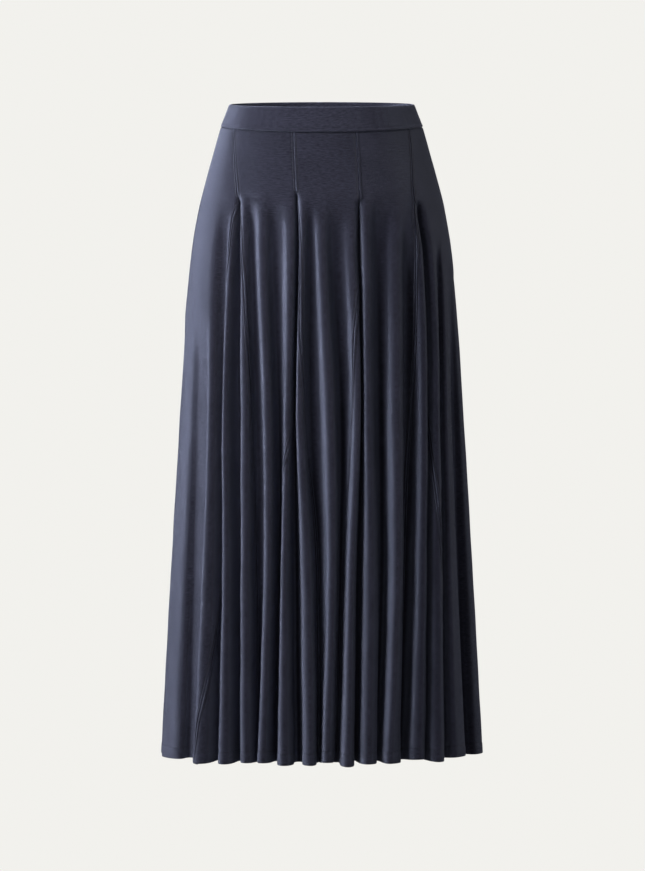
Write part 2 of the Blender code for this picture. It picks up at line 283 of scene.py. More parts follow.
@dataclass(frozen=True)
class Drape:
    """The worn form of one half's cloth, without its sewing."""

    side: Side
    step_phase: float = 0.004
    step_height: float = 2 * MM
    samples: int = 500

    def points(self, phases: np.ndarray, z: float) -> np.ndarray:
        """Points of the cloth's middle surface on one level.

        Args:
            phases: Places round the half.
            z: The height.

        Returns:
            One row of x, y and z for each phase.
        """
        crests, valleys, depths, narrow = fold_rows(z)
        number = np.clip(np.floor(phases + 0.5), 0, FOLD_COUNT).astype(int)
        crest = np.where(phases >= number, number + 1, number)
        u = 1 - np.minimum(1.0, np.abs(phases - number) * 2)
        fold = np.clip(crest, 1, FOLD_COUNT) - 1
        t = grown(FOLDS_START, z)
        bulge = ROUNDNESS * t**ROUND_POWER * np.sin(TURN * u) + narrow[number] * (1 - np.cos(TURN * u))
        angle = crests[crest] + (valleys[number] - crests[crest]) * (u + bulge / TURN)
        in_valley = (1 - np.cos(np.pi * u)) / 2
        inward = depths[number] * in_valley + SET_IN[fold] * t * (1 - in_valley)
        lift = (RISE[fold] * (1 - in_valley) + VALLEY_RISE * in_valley) * t**4
        lift = lift + side_lift(np.sin(np.radians(angle)), z)
        if self.side is Side.BACK:
            inward = inward * (1 + BACK_DEPTH * np.sin(np.radians(4 * angle)))
            angle = angle + BACK_SWAY * np.sin(np.radians(3 * angle)) * np.cos(np.radians(angle))
        e = np.radians(angle)
        half_width, depth = outline("half_width", z), outline(self.side.value, z)
        outward = unit(np.stack([np.sin(e) / half_width, -np.cos(e) / depth, 0 * e], axis=-1))
        found = np.stack([half_width * np.sin(e), -depth * np.cos(e), z + lift], axis=-1)
        found -= outward * inward[:, None]
        if self.side is Side.BACK:
            found[:, 1] *= -1
        return found

    def normals(self, phases: np.ndarray, z: float) -> np.ndarray:
        """Outward unit normals of the cloth on one level."""
        along = self.points(phases + self.step_phase, z) - self.points(phases - self.step_phase, z)
        down = self.points(phases, z - self.step_height) - self.points(phases, z + self.step_height)
        found = unit(np.cross(along, down))
        return found if self.side is Side.BACK else -found

    def spread(self, first: str, last: str, z: float) -> tuple[np.ndarray, np.ndarray]:
        """Measure the cloth along one level.

        Args:
            first: The seam where the measure starts.
            last: The seam where it ends.
            z: The height.

        Returns:
            Phases from one seam to the other, and the distance along the cloth at each.
        """
        phases = np.linspace(seam_phase(first, z), seam_phase(last, z), self.samples)
        steps = np.linalg.norm(np.diff(self.points(phases, z), axis=0), axis=1)
        return phases, np.concatenate([[0.0], np.cumsum(steps)])


@dataclass(frozen=True)
class Station:
    """A place on a sewn edge: millimetres in from it and off the cloth's face, and its painted shade."""

    along: float
    off: float
    painted_shade: float = 0.0


# From the raw edge of the allowance, turned under, round the seam and over its ridge.
# The third number is painted shade, darkest in the grooves along the seam and its stitching.
SEWN_EDGE = (
    Station(8, -2.1),
    Station(3.6, -2.1),
    Station(0.6, -1.7, 0.6),
    Station(0, -0.45, 1),
    Station(0.6, 0.05, 0.8),
    Station(1.3, 0.5, 0.1),
    Station(2.1, 0.6),
    Station(2.7, 0.35, 0.3),
    Station(3.3, -0.2, 1),
    Station(3.9, -0.15, 0.8),
    Station(4.6, 0, 0.1),
    Station(6.4, 0),
)
# The station of the sewn edge that carries the topstitching, those on a hem's outside, and
# the one of them that carries its stitches. A godet's first rows are too narrow for any.
STITCHED = 8
HEM_OUTSIDE = 7
HEM_STITCHED = 2
GODET_FIRST = 2
# How proud the ridges stand: pressed flat over the hip, thick where the cloth folds at an
# apex, and pressed again further down.
RIDGES = ((BAND_BOTTOM, 0.45), (-0.085, 0.55), (-0.120, 1.5), (-0.30, 1.4), (-0.60, 1.3), (HEM, 1.2))
# Rows of the cloth lie closer together where the folds set in.
APEX_ZONE = (-0.089, -0.152)
# Down from the waist seam, and from above the hem's stitching round to the turned-up edge.
# The third numbers are painted shade, darkest in the groove under the band and in the hem's groove.
WAIST_EDGE = (
    Station(-0.3, -1.3, 1),
    Station(0.5, -1.1, 1),
    Station(1.3, -0.75, 1),
    Station(2.2, -0.2, 0.6),
    Station(3.4, 0, 0.1),
    Station(5.2, 0),
)
HEM_EDGE = (
    Station(19, 0),
    Station(17.2, 0),
    Station(16.3, -0.35, 1),
    Station(15.4, 0.1, 0.3),
    Station(12, 0.35),
    Station(6, 0.3),
    Station(1.2, 0.25),
    Station(0.2, -0.2),
    Station(0, -1),
    Station(0.2, -1.8),
    Station(1.2, -2.3),
    Station(8, -2.35),
    Station(16, -2.35),
)


@dataclass(frozen=True)
class Crease:
    """A small fold pressed or dragged into the cloth."""

    phase: float
    z: float
    length: float
    width: float
    slant: float
    height: float


# Where the seams leave the folds they cross, drags below the waistband and above the
# apexes, and the places where a pipe of cloth is knocked a little out of line.
CREASES = {
    Side.FRONT: (
        Crease(5.33, -0.415, 0.012, 0.16, 9, 0.45),
        Crease(5.3, -0.452, 0.011, 0.15, 10, -0.4),
        Crease(5.26, -0.487, 0.012, 0.16, 9, 0.45),
        Crease(5.22, -0.523, 0.013, 0.15, 8, -0.35),
        Crease(3.62, -0.352, 0.014, 0.14, -7, 0.35),
        Crease(3.68, -0.398, 0.013, 0.14, -8, -0.4),
        Crease(3.72, -0.441, 0.014, 0.14, -7, 0.35),
        Crease(1.92, -0.655, 0.016, 0.2, 6, 0.4),
        Crease(1.8, -0.702, 0.015, 0.2, 7, -0.35),
        Crease(8.38, -0.3, 0.015, 0.16, 6, 0.35),
        Crease(8.3, -0.348, 0.014, 0.16, 7, -0.35),
        Crease(0.85, -0.33, 0.06, 0.4, 2, -0.6),
        Crease(0.7, -0.56, 0.07, 0.35, 1.5, 0.5),
        Crease(2.45, -0.47, 0.05, 0.3, -1, 0.7),
        Crease(4.5, -0.585, 0.045, 0.3, 1.2, -0.7),
        Crease(6.55, -0.52, 0.055, 0.3, -1, 0.6),
        Crease(7.5, -0.69, 0.05, 0.3, 1, -0.7),
        Crease(9.45, -0.43, 0.05, 0.3, 1.2, 0.6),
        Crease(10.52, -0.6, 0.06, 0.3, -1, -0.6),
        Crease(12.5, -0.5, 0.05, 0.3, 1, 0.6),
        Crease(14.1, -0.4, 0.07, 0.4, -1.5, -0.5),
        Crease(2.2, -0.062, 0.016, 0.8, 22, -0.25),
        Crease(4.7, -0.078, 0.018, 0.7, -16, 0.22),
        Crease(7.3, -0.06, 0.015, 0.8, 15, -0.2),
        Crease(10.4, -0.075, 0.018, 0.7, -18, 0.22),
        Crease(12.8, -0.055, 0.016, 0.8, -20, -0.25),
    ),
    Side.BACK: (
        Crease(3.66, -0.37, 0.014, 0.14, -7, 0.35),
        Crease(3.72, -0.42, 0.014, 0.14, -7, -0.35),
        Crease(5.3, -0.44, 0.012, 0.16, 9, 0.4),
        Crease(5.25, -0.48, 0.012, 0.16, 9, -0.4),
        Crease(8.35, -0.33, 0.014, 0.16, 7, 0.35),
        Crease(2.5, -0.52, 0.055, 0.3, 1, 0.6),
        Crease(6.5, -0.45, 0.05, 0.3, -1, -0.6),
        Crease(10.5, -0.62, 0.055, 0.3, 1, 0.6),
        Crease(13.2, -0.48, 0.06, 0.35, -1, -0.55),
        Crease(5.2, -0.07, 0.018, 0.7, 16, 0.22),
        Crease(10.1, -0.066, 0.016, 0.8, -18, -0.25),
    ),
}


@dataclass(frozen=True)
class Pucker:
    """Small ripples that the tension of the stitches leaves beside a seam."""

    wave: float = 19 * MM
    height: float = 0.22 * MM
    reach: float = 7 * MM
    wander: float = 31.0
    wander_turn: float = 2.0
    starts: float = -0.11
    growth: float = 3.0

    def heights(self, inward: np.ndarray, z: float, seam_phases: tuple[float, float]) -> np.ndarray:
        """How far the face stands off beside the panel's two seams, on one level.

        Args:
            inward: Each place's distance along the cloth from the first seam.
            z: The height.
            seam_phases: The phases of the seams, which set the ripples' start.

        Returns:
            Offsets in metres along the normal.
        """
        t = min(1.0, self.growth * grown(self.starts, z))
        from_edges = (inward, inward[-1] - inward)
        found = np.zeros_like(inward)
        for distance, phase in zip(from_edges, seam_phases):
            drift = self.wander_turn * math.sin(z * self.wander + phase)
            ripple = math.sin(TURN * z / self.wave + drift + phase)
            found += self.height * t * ripple * np.exp(-((distance / self.reach) ** 2))
        return found


# Waves of soft dents: radians for each metre along x, y and z, and where the wave starts.
BROAD_DENTS = ((47, 0, 23, 3.7), (0, 39, -17, 0))
SLANTED_DENTS = (101, -67, 41, 1.3)
LEVEL_DENTS = (61, 29, 88, 0)


@dataclass(frozen=True)
class Unevenness:
    """What keeps the knit from lying like sheet metal: soft dents and listed creases."""

    side: Side
    dent: float = 0.35 * MM
    slanted_share: float = 0.6
    level_share: float = 0.35
    starts: float = -0.05
    yoke_share: float = 0.4

    def heights(self, places: np.ndarray, phases: np.ndarray, z: float) -> np.ndarray:
        """How far the face stands off its plain drape on one level.

        Args:
            places: The drape's points.
            phases: Their phases.
            z: Their height.

        Returns:
            Offsets in metres along the normal.
        """
        x, y = places[:, 0], places[:, 1]
        at = np.stack([x, y, 0 * x + z, 0 * x + 1], axis=-1)
        wave = (
            np.sin(at @ BROAD_DENTS[0]) * np.cos(at @ BROAD_DENTS[1])
            + self.slanted_share * np.sin(at @ SLANTED_DENTS)
            + self.level_share * np.sin(at @ LEVEL_DENTS)
        )
        found = self.dent * (self.yoke_share + (1 - self.yoke_share) * grown(self.starts, z)) * wave
        for crease in CREASES[self.side]:
            if abs(z - crease.z) < 2 * crease.length:
                down = (z - crease.z) / crease.length
                across = (phases - crease.phase - crease.slant * (z - crease.z)) / crease.width
                found = found + crease.height * MM * np.exp(-down * down * 2 - across * across * 2)
        return found


@dataclass(frozen=True)
class KnitFinish:
    """A fine jersey: its yarn colours, its slubs and its nap."""

    name: str
    slot: str
    yarn: tuple[float, float, float]
    heather: tuple[float, float, float]
    slub_contrast: float = 0.55
    roughness: float = 0.72
    specular: float = 0.25
    nap: float = 0.80
    nap_roughness: float = 0.32
    nap_tint: tuple[float, float, float] = (0.61, 0.68, 1.0)
    relief: float = 0.55 * MM
    relief_strength: float = 0.8

    def make(self) -> bpy.types.Material:
        """Build the material.

        Returns:
            The material, which reads the piece's own UV map in metres.
        """
        material = bpy.data.materials.new(self.name)
        material.use_nodes = True
        tree = material.node_tree
        flat = add_node(tree, "UVMap")
        flat.uv_map = "cloth"
        cloth = flat.outputs["UV"]
        yarn = add_node(tree, melange_group(), {
            "Cloth": cloth,
            "Yarn": (*self.yarn, 1.0),
            "Heather": (*self.heather, 1.0),
            "Contrast": self.slub_contrast,
            "Roughness": self.roughness,
        })
        # Painted shade deepens the yarn's colour in the grooves of the seams and the hem.
        shaded = add_node(tree, painted_shade_group(), {"Color": yarn.outputs["Color"]})
        loops = add_node(tree, loops_group(), {"Cloth": cloth})
        bump = add_node(tree, "Bump", {
            "Strength": self.relief_strength,
            "Distance": self.relief,
            "Height": loops.outputs["Height"],
        })
        feed(tree.nodes["Principled BSDF"], {
            "Base Color": shaded.outputs["Color"],
            "Roughness": yarn.outputs["Roughness"],
            "Normal": bump.outputs["Normal"],
            "Metallic": 0.0,
            "Specular IOR Level": self.specular,
            "Sheen Weight": self.nap,
            "Sheen Roughness": self.nap_roughness,
            "Sheen Tint": (*self.nap_tint, 1.0),
        })
        return material


def new_group(name: str, inputs: dict[str, object], outputs: dict[str, str]) -> bpy.types.NodeTree:
    """Start a shader node group with named sockets.

    Args:
        name: The group's name.
        inputs: Each input's name and default; None is a vector without one.
        outputs: Each output's name and socket type.

    Returns:
        The group, with its input and output nodes in it.
    """
    group = bpy.data.node_groups.new(name, "ShaderNodeTree")
    for label, value in inputs.items():
        if value is None:
            kind = "NodeSocketVector"
        elif isinstance(value, tuple):
            kind = "NodeSocketColor"
        else:
            kind = "NodeSocketFloat"
        socket = group.interface.new_socket(label, in_out="INPUT", socket_type=kind)
        if value is not None:
            socket.default_value = value
    for label, kind in outputs.items():
        group.interface.new_socket(label, in_out="OUTPUT", socket_type=kind)
    group.nodes.new("NodeGroupInput").name = "in"
    group.nodes.new("NodeGroupOutput").name = "out"
    return group


def feed(node: bpy.types.Node, inputs: dict[str | int, object]) -> None:
    """Link each input to the socket given for its name or number, or set it to the value."""
    for key, value in inputs.items():
        if isinstance(value, bpy.types.NodeSocket):
            node.id_data.links.new(value, node.inputs[key])
        else:
            node.inputs[key].default_value = value


def add_node(
    tree: bpy.types.NodeTree, kind: str | bpy.types.NodeTree, inputs: dict[str | int, object] | None = None
) -> bpy.types.Node:
    """Add a shader node.

    Args:
        tree: Where it goes.
        kind: Blender's name for its kind, or the node group it stands for.
        inputs: What feeds its inputs.

    Returns:
        The node.
    """
    if isinstance(kind, str):
        node = tree.nodes.new("ShaderNode" + kind)
    else:
        node = tree.nodes.new("ShaderNodeGroup")
        node.node_tree = kind
    feed(node, inputs or {})
    return node


def math_node(tree: bpy.types.NodeTree, operation: str, *values: object) -> bpy.types.NodeSocket:
    """Add a Math node.

    Args:
        tree: Where it goes.
        operation: Blender's name for what it does.
        values: Sockets to link or numbers to set, in order.

    Returns:
        Its output.
    """
    node = add_node(tree, "Math", dict(enumerate(values)))
    node.operation = operation
    return node.outputs[0]


def mix_node(tree: bpy.types.NodeTree, blend: str, *values: object) -> bpy.types.NodeSocket:
    """Add a Mix node for colours.

    Args:
        tree: Where it goes.
        blend: Blender's name for how the colours blend.
        values: The factor and the two colours, as sockets to link or values to set.

    Returns:
        Its output.
    """
    node = add_node(tree, "Mix")
    node.data_type = "RGBA"
    node.blend_type = blend
    shown = [number for number, socket in enumerate(node.inputs) if socket.enabled]
    feed(node, dict(zip(shown, values)))
    return next(socket for socket in node.outputs if socket.enabled)


@dataclass(frozen=True)
class Streaks:
    """Noise drawn out along the knit's courses: a streak's length and height, and its weight."""

    length: float
    height: float
    weight: float
    detail: float
    shift: float
    shift_slant: float = 0.7
    roughness: float = 0.6

    def add(self, tree: bpy.types.NodeTree, cloth: bpy.types.NodeSocket) -> bpy.types.NodeSocket:
        """Add the noise.

        Args:
            tree: Where the nodes go.
            cloth: The place on the flat cloth, in metres.

        Returns:
            The noise's value, about 0.5 on average.
        """
        place = add_node(tree, "Mapping", {
            "Vector": cloth,
            "Scale": (1 / self.length, 1 / self.height, 1.0),
            "Location": (self.shift, self.shift * self.shift_slant, 0.0),
        })
        noise = add_node(tree, "TexNoise", {
            "Vector": place.outputs["Vector"],
            "Scale": 1.0,
            "Detail": self.detail,
            "Roughness": self.roughness,
        })
        noise.noise_dimensions = "2D"
        return noise.outputs["Fac"]


SLUBS = Streaks(13 * MM, 1.5 * MM, 1.0, 2.0, 0.0)
FIBRES = Streaks(6.2 * MM, 1.5 * MM, 1.6, 1.0, 4.3)
SHADES = Streaks(110 * MM, 45 * MM, 0.5, 2.0, 9.1)
RAISED_SLUBS = Streaks(16 * MM, 1.8 * MM, 1.2, 1.0, 1.7)
# How much smoother a light streak is, and, in a loop, the slant of its legs in courses and
# the courses' relief against the wales'.
STREAK_SMOOTHING = -0.12
LEG_SLANT = 1.3
COURSE_RELIEF = 0.35
# What a group's colours are until a finish sets them.
GREY = (0.05, 0.05, 0.05, 1.0)


@lru_cache(maxsize=None)
def melange_group() -> bpy.types.NodeTree:
    """Heathered yarn: slubs and fibres of two colours along the courses."""
    group = new_group(
        "melange_yarn",
        {"Cloth": None, "Yarn": GREY, "Heather": GREY, "Contrast": 0.5, "Roughness": 0.7},
        {"Color": "NodeSocketColor", "Roughness": "NodeSocketFloat"},
    )
    entry, leave = group.nodes["in"], group.nodes["out"]
    streaked = 0.0
    for streaks in (SLUBS, FIBRES, SHADES):
        light = math_node(group, "SUBTRACT", streaks.add(group, entry.outputs["Cloth"]), 0.5)
        streaked = math_node(group, "MULTIPLY_ADD", light, streaks.weight, streaked)
    share = math_node(group, "MULTIPLY_ADD", streaked, entry.outputs["Contrast"], 0.5)
    share.node.use_clamp = True
    colour = mix_node(group, "MIX", share, entry.outputs["Yarn"], entry.outputs["Heather"])
    rough = math_node(group, "MULTIPLY_ADD", streaked, STREAK_SMOOTHING, entry.outputs["Roughness"])
    feed(leave, {"Color": colour, "Roughness": rough})
    return group


@lru_cache(maxsize=None)
def painted_shade_group() -> bpy.types.NodeTree:
    """Painted shade: the colour deepens along the grooves of the seams, the stitching and the hem."""
    group = new_group("painted_groove_shade", {"Color": GREY, "Depth": 0.45}, {"Color": "NodeSocketColor"})
    entry, leave = group.nodes["in"], group.nodes["out"]
    painted_shade = add_node(group, "Attribute")
    painted_shade.attribute_name = "painted_shade"
    keep = math_node(group, "MULTIPLY", painted_shade.outputs["Fac"], entry.outputs["Depth"])
    keep = math_node(group, "SUBTRACT", 1.0, keep)
    deepened = mix_node(group, "MULTIPLY", 1.0, entry.outputs["Color"], keep)
    feed(leave, {"Color": deepened})
    return group


@lru_cache(maxsize=None)
def loops_group() -> bpy.types.NodeTree:
    """Relief of a plain jersey: columns of small loops, each a V."""
    group = new_group(
        "knit_loops",
        {"Cloth": None, "Wale": 1.1 * MM, "Course": 1.0 * MM},
        {"Height": "NodeSocketFloat"},
    )
    entry, leave = group.nodes["in"], group.nodes["out"]
    parts = add_node(group, "SeparateXYZ", {"Vector": entry.outputs["Cloth"]})
    across = math_node(group, "DIVIDE", parts.outputs["X"], entry.outputs["Wale"])
    side = math_node(group, "PINGPONG", across, 0.5)
    down = math_node(group, "DIVIDE", parts.outputs["Y"], entry.outputs["Course"])
    down = math_node(group, "MULTIPLY_ADD", side, LEG_SLANT, down)
    course = math_node(group, "SINE", math_node(group, "MULTIPLY", down, TURN))
    wale = math_node(group, "SINE", math_node(group, "MULTIPLY", side, TURN))
    height = math_node(group, "MULTIPLY_ADD", course, COURSE_RELIEF, wale)
    slubs = RAISED_SLUBS.add(group, entry.outputs["Cloth"])
    height = math_node(group, "MULTIPLY_ADD", slubs, RAISED_SLUBS.weight, height)
    feed(leave, {"Height": height})
    return group


NAVY = ((0.007, 0.007, 0.014), (0.063, 0.064, 0.111))
GORE_KNIT = KnitFinish("fine_knit_gores", "knit_panel", *NAVY)
GODET_KNIT = KnitFinish("fine_knit_godets", "knit_godet", *NAVY)
BAND_KNIT = KnitFinish("fine_knit_band", "knit_band", (0.010, 0.010, 0.019), (0.075, 0.076, 0.130))


@dataclass(frozen=True)
class ThreadFinish:
    """Tone-on-tone polyester sewing thread."""

    name: str = "topstitch_thread"
    slot: str = "seam_thread"
    colour: tuple[float, float, float] = (0.016, 0.018, 0.030)
    roughness: float = 0.5
    plies: float = 1200.0
    ply_contrast: float = 0.25

    def make(self) -> bpy.types.Material:
        """Build the material: the thread's ply shows as fine slanting bands."""
        material = bpy.data.materials.new(self.name)
        material.use_nodes = True
        tree = material.node_tree
        place = add_node(tree, "TexCoord")
        ply = add_node(tree, "TexWave", {"Vector": place.outputs["Object"], "Scale": self.plies})
        ply.bands_direction = "DIAGONAL"
        dark = (*(c * (1 - self.ply_contrast) for c in self.colour), 1.0)
        light = (*(c * (1 + self.ply_contrast) for c in self.colour), 1.0)
        shade = mix_node(tree, "MIX", ply.outputs["Fac"], dark, light)
        feed(tree.nodes["Principled BSDF"], {"Base Color": shade, "Roughness": self.roughness})
        return material


THREAD = ThreadFinish()


@lru_cache(maxsize=None)
def finish_material(finish: KnitFinish | ThreadFinish) -> bpy.types.Material:
    """The material of a finish, built once."""
    return finish.make()


def add_grid(bm: bmesh.types.BMesh, rows: int, columns: int) -> dict[bmesh.types.BMVert, tuple[int, int]]:
    """Add a grid of faces.

    Args:
        bm: The mesh that takes it.
        rows: How many rows of points.
        columns: How many points in a row.

    Returns:
        Each new vertex's row and column.
    """
    made = bmesh.ops.create_grid(bm, x_segments=columns - 1, y_segments=rows - 1, size=1.0)
    return {
        vert: (round((1 - vert.co.y) / 2 * (rows - 1)), round((vert.co.x + 1) / 2 * (columns - 1)))
        for vert in made["verts"]
    }


def add_object(name: str, bm: bmesh.types.BMesh, material: bpy.types.Material) -> bpy.types.Object:
    """Turn a bmesh into an object of one material in the scene, and free it."""
    mesh = bpy.data.meshes.new(name)
    bm.to_mesh(mesh)
    bm.free()
    mesh.materials.append(material)
    piece = bpy.data.objects.new(name, mesh)
    bpy.context.scene.collection.objects.link(piece)
    return piece


@dataclass
class Cloth:
    """A grid of cloth: its points row by row, its place on the flat cut, and its painted shade.

    Points of its first row nearer than merged become one, as at a godet's apex.
    """

    points: np.ndarray
    flat: np.ndarray
    painted_shade: np.ndarray
    merged: float = 0.001 * MM

    def build(self, name: str, wall: float, side: Side, finish: KnitFinish) -> bpy.types.Object:
        """Make the piece.

        Args:
            name: The piece's name.
            wall: Thickness of the cloth.
            side: The half it belongs to.
            finish: Its knit.

        Returns:
            The object, linked to the scene, with a Solidify modifier.
        """
        bm = bmesh.new()
        uv = bm.loops.layers.uv.new("cloth")
        # Each point carries its painted shade, which darkens the colour in the grooves.
        dark = bm.verts.layers.float.new("painted_shade")
        places = add_grid(bm, *self.points.shape[:2])
        for vert, place in places.items():
            vert.co = self.points[place]
            vert[dark] = self.painted_shade[place]
        for face in bm.faces:
            face.smooth = True
            for loop in face.loops:
                loop[uv].uv = self.flat[places[loop.vert]]
        top = [vert for vert, (row, _) in places.items() if row == 0]
        bmesh.ops.remove_doubles(bm, verts=top, dist=self.merged)
        if side is Side.BACK:
            bmesh.ops.reverse_faces(bm, faces=bm.faces)
        piece = add_object(name, bm, finish_material(finish))
        thick = piece.modifiers.new("wall", "SOLIDIFY")
        thick.thickness = wall
        thick.offset = -1.0
        thick.use_quality_normals = True
        return piece

    def area(self) -> float:
        """Area of the cloth in one layer, turned edges included."""
        along = np.diff(self.points, axis=1)
        down = np.diff(self.points, axis=0)
        crossed = np.cross(along[:-1], down[:, :-1])
        return float(np.linalg.norm(crossed, axis=-1).sum())


def run_of(points: np.ndarray, axis: int) -> np.ndarray:
    """Distance along a grid's rows or columns, from its first point."""
    steps = np.linalg.norm(np.diff(points, axis=axis), axis=-1)
    start = np.zeros_like(np.take(steps, [0], axis=axis))
    return np.concatenate([start, np.cumsum(steps, axis=axis)], axis=axis)


@dataclass
class Panel:
    """A gore or a godet, with its seams pressed open, topstitched, and its hem turned up.

    Where a godet is narrower than edge_room sewn edges, those narrow with it.
    """

    name: str
    first: str
    last: str
    side: Side
    finish: KnitFinish
    is_godet: bool = False
    pucker: Pucker = Pucker()
    wall: float = 1.0 * MM
    column: float = 4.5 * MM
    row: float = 5.2 * MM
    fine_row: float = 3.0 * MM
    least_columns: int = 6
    edge_room: float = 2.4

    def levels(self) -> list[tuple[float, float, float]]:
        """Height, offset and painted shade of each row, from the top down."""
        rows = [(BAND_BOTTOM - s.along * MM, s.off * MM, s.painted_shade) for s in WAIST_EDGE]
        low = HEM + HEM_EDGE[0].along * MM
        count = round((rows[-1][0] - low) / self.row)
        top, bottom = APEX_ZONE
        coarse = np.linspace(rows[-1][0], low, count + 1)[1:-1].round(5)
        fine = np.linspace(top, bottom, round((top - bottom) / self.fine_row) + 1).round(5)
        body = {z for z in coarse if not bottom - self.fine_row < z < top + self.fine_row} | set(fine)
        apexes = {seam.apex_z for seam in SEAMS.values()}
        body = {z for z in body if min(abs(z - a) for a in apexes) > self.fine_row / 2} | apexes
        rows += [(z, 0.0, 0.0) for z in sorted(body, reverse=True)]
        rows += [(HEM + s.along * MM, s.off * MM, s.painted_shade) for s in HEM_EDGE]
        if self.is_godet:
            top = SEAMS[self.first].apex_z
            rows = [row for row in rows if row[0] <= top]
        return rows

    def cloth(self) -> Cloth:
        """Drape the panel.

        Returns:
            Its grid, seam allowances and hem included.
        """
        drape, unevenness = Drape(self.side), Unevenness(self.side)
        widest = drape.spread(self.first, self.last, HEM)[1][-1]
        middle = max(self.least_columns, round(widest / self.column))
        reach = SEWN_EDGE[-1].along * MM
        along = np.array([s.along for s in SEWN_EDGE]) * MM
        off = np.array([s.off for s in SEWN_EDGE]) * MM
        # Painted shade along the sewn edges darkens the colour in their grooves.
        painted_shade = np.array([s.painted_shade for s in SEWN_EDGE])
        points, marks = [], []
        for z, row_off, row_painted_shade in self.levels():
            phases, run = drape.spread(self.first, self.last, z)
            width = run[-1]
            fit = min(1.0, width / self.edge_room / reach)
            edge = along * fit
            inner = np.linspace(reach * fit, width - reach * fit, middle + 1)[1:-1]
            spots = np.concatenate([edge, inner, width - edge[::-1]])
            heights = np.concatenate([off, 0 * inner, off[::-1]]) * fit
            heights = np.where(heights > 0, heights * smooth(list(RIDGES), z), heights)
            dark = np.concatenate([painted_shade, 0 * inner, painted_shade[::-1]])
            at = np.interp(spots, run, phases)
            base = drape.points(at, z)
            seams = (SEAMS[self.first].apex, SEAMS[self.last].apex)
            uneven = unevenness.heights(base, at, z) + self.pucker.heights(spots, z, seams)
            lift = heights + row_off + SOLID_WALL / 2 + uneven * fit
            points.append(base + drape.normals(at, z) * lift[:, None])
            marks.append(np.maximum(dark, row_painted_shade))
        grid = np.array(points)
        u = run_of(grid, 1)
        u -= u[:, [u.shape[1] // 2]]
        v = run_of(grid[:, [grid.shape[1] // 2]], 0)
        return Cloth(grid, np.stack([u, -v + 0 * u], axis=-1), np.array(marks))

    def build(self) -> bpy.types.Object:
        """Make the piece, dress it and report it to the frame."""
        cloth = self.cloth()
        piece = cloth.build("cloth_" + self.name, self.wall, self.side, self.finish)
        area = cloth.area()
        width = float(run_of(cloth.points, 1)[:, -1].max())
        length = float(run_of(cloth.points, 0)[-1].max())
        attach(piece, "root")
        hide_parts(self.name)
        LOG.info("%s: flat %.3f x %.3f m, %.4f m2", piece.name, width, length, area)
        Topstitching("thread_" + self.name, cloth, self.stitch_lines(cloth), self.side).build()
        return piece

    def stitch_lines(self, cloth: Cloth) -> list[tuple[np.ndarray, np.ndarray]]:
        """Rows and columns of the grid that are stitched, along the godet seams and the hem."""
        count, columns = cloth.points.shape[:2]
        first_row = GODET_FIRST if self.is_godet else len(WAIST_EDGE) - 1
        outside = np.arange(first_row, count - len(HEM_EDGE) + HEM_OUTSIDE)
        edges = {self.first: STITCHED, self.last: columns - 1 - STITCHED}
        godet_edges = [at for seam, at in edges.items() if "side" not in seam]
        lines = [(outside, np.full(outside.shape, at)) for at in godet_edges]
        across = np.arange(STITCHED, columns - STITCHED)
        return lines + [(np.full(across.shape, count - len(HEM_EDGE) + HEM_STITCHED), across)]


# A stitch's thread is sunk at its start and on top from there on: shares of its length, and
# its section, as shares of its half width and of its height.
STITCH_PLACES = np.array([0.0, 0.2, 0.8])
STITCH_SECTION = ((-1.0, 0.0), (-0.5, 1.0), (0.5, 1.0), (1.0, 0.0))


@dataclass
class Topstitching:
    """Raised stitches along lines of a panel's own cloth, each dipping in at its ends."""

    name: str
    cloth: Cloth
    lines: list[tuple[np.ndarray, np.ndarray]]
    side: Side
    stitch: float = 3.4 * MM
    half_width: float = 0.36 * MM
    proud: float = 0.24 * MM
    sunk: float = 0.25 * MM

    def normals(self) -> np.ndarray:
        """Outward unit normals at the points of the cloth."""
        along, down = np.gradient(self.cloth.points, axis=1), np.gradient(self.cloth.points, axis=0)
        found = unit(np.cross(along, down))
        return found if self.side is Side.BACK else -found

    def strip(self, bm: bmesh.types.BMesh, path: np.ndarray, normal: np.ndarray) -> None:
        """Lay one line of stitches.

        Args:
            bm: The mesh that takes them.
            path: Points along the line.
            normal: The cloth's normals there.
        """
        run = run_of(path, 0)
        count = int(run[-1] / self.stitch)
        if count < 1:
            return
        places = (np.arange(count)[:, None] + STITCH_PLACES).ravel() * self.stitch
        high = np.tile([-self.sunk, self.proud, self.proud], count)
        spots = np.stack([np.interp(places, run, path[:, k]) for k in range(3)], axis=-1)
        up = unit(np.stack([np.interp(places, run, normal[:, k]) for k in range(3)], axis=-1))
        across = unit(np.cross(up, np.gradient(spots, axis=0)))
        for vert, (j, i) in add_grid(bm, len(places), len(STITCH_SECTION)).items():
            aside, share = STITCH_SECTION[i]
            lift = high[j] * share - self.sunk * (1 - share)
            vert.co = spots[j] + across[j] * self.half_width * aside + up[j] * lift

    def build(self) -> bpy.types.Object:
        """Make the panel's threads, dress them and report them to the frame."""
        normals = self.normals()
        bm = bmesh.new()
        for line in self.lines:
            self.strip(bm, self.cloth.points[line], normals[line])
        for face in bm.faces:
            face.smooth = True
        piece = add_object(self.name, bm, finish_material(THREAD))
        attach(piece, "root")
        return piece


# Up the band's outside from its turned lower edge, over its fold and down the inside, in
# millimetres above its middle.
# The third numbers are painted shade, darkest at the band's turned lower edge and half as dark in the
# groove higher up.
BAND_SECTION = (
    Station(-17.4, -1.2, 1),
    Station(-17.4, 0.1, 1),
    Station(-17, 0.75, 0.6),
    Station(-16, 1, 0.1),
    Station(-13, 0.85),
    Station(-11.6, 0.45, 0.5),
    Station(-10.2, 0.62),
    Station(-6, 0.5),
    Station(0, 0.35),
    Station(13.5, 0.3),
    Station(16, 0.15),
    Station(17.1, -0.35),
    Station(17.5, -1.3),
    Station(17.3, -2.3),
    Station(16.4, -2.9),
    Station(13.5, -3),
    Station(0, -3),
    Station(-13.5, -3),
    Station(-17.4, -3),
)


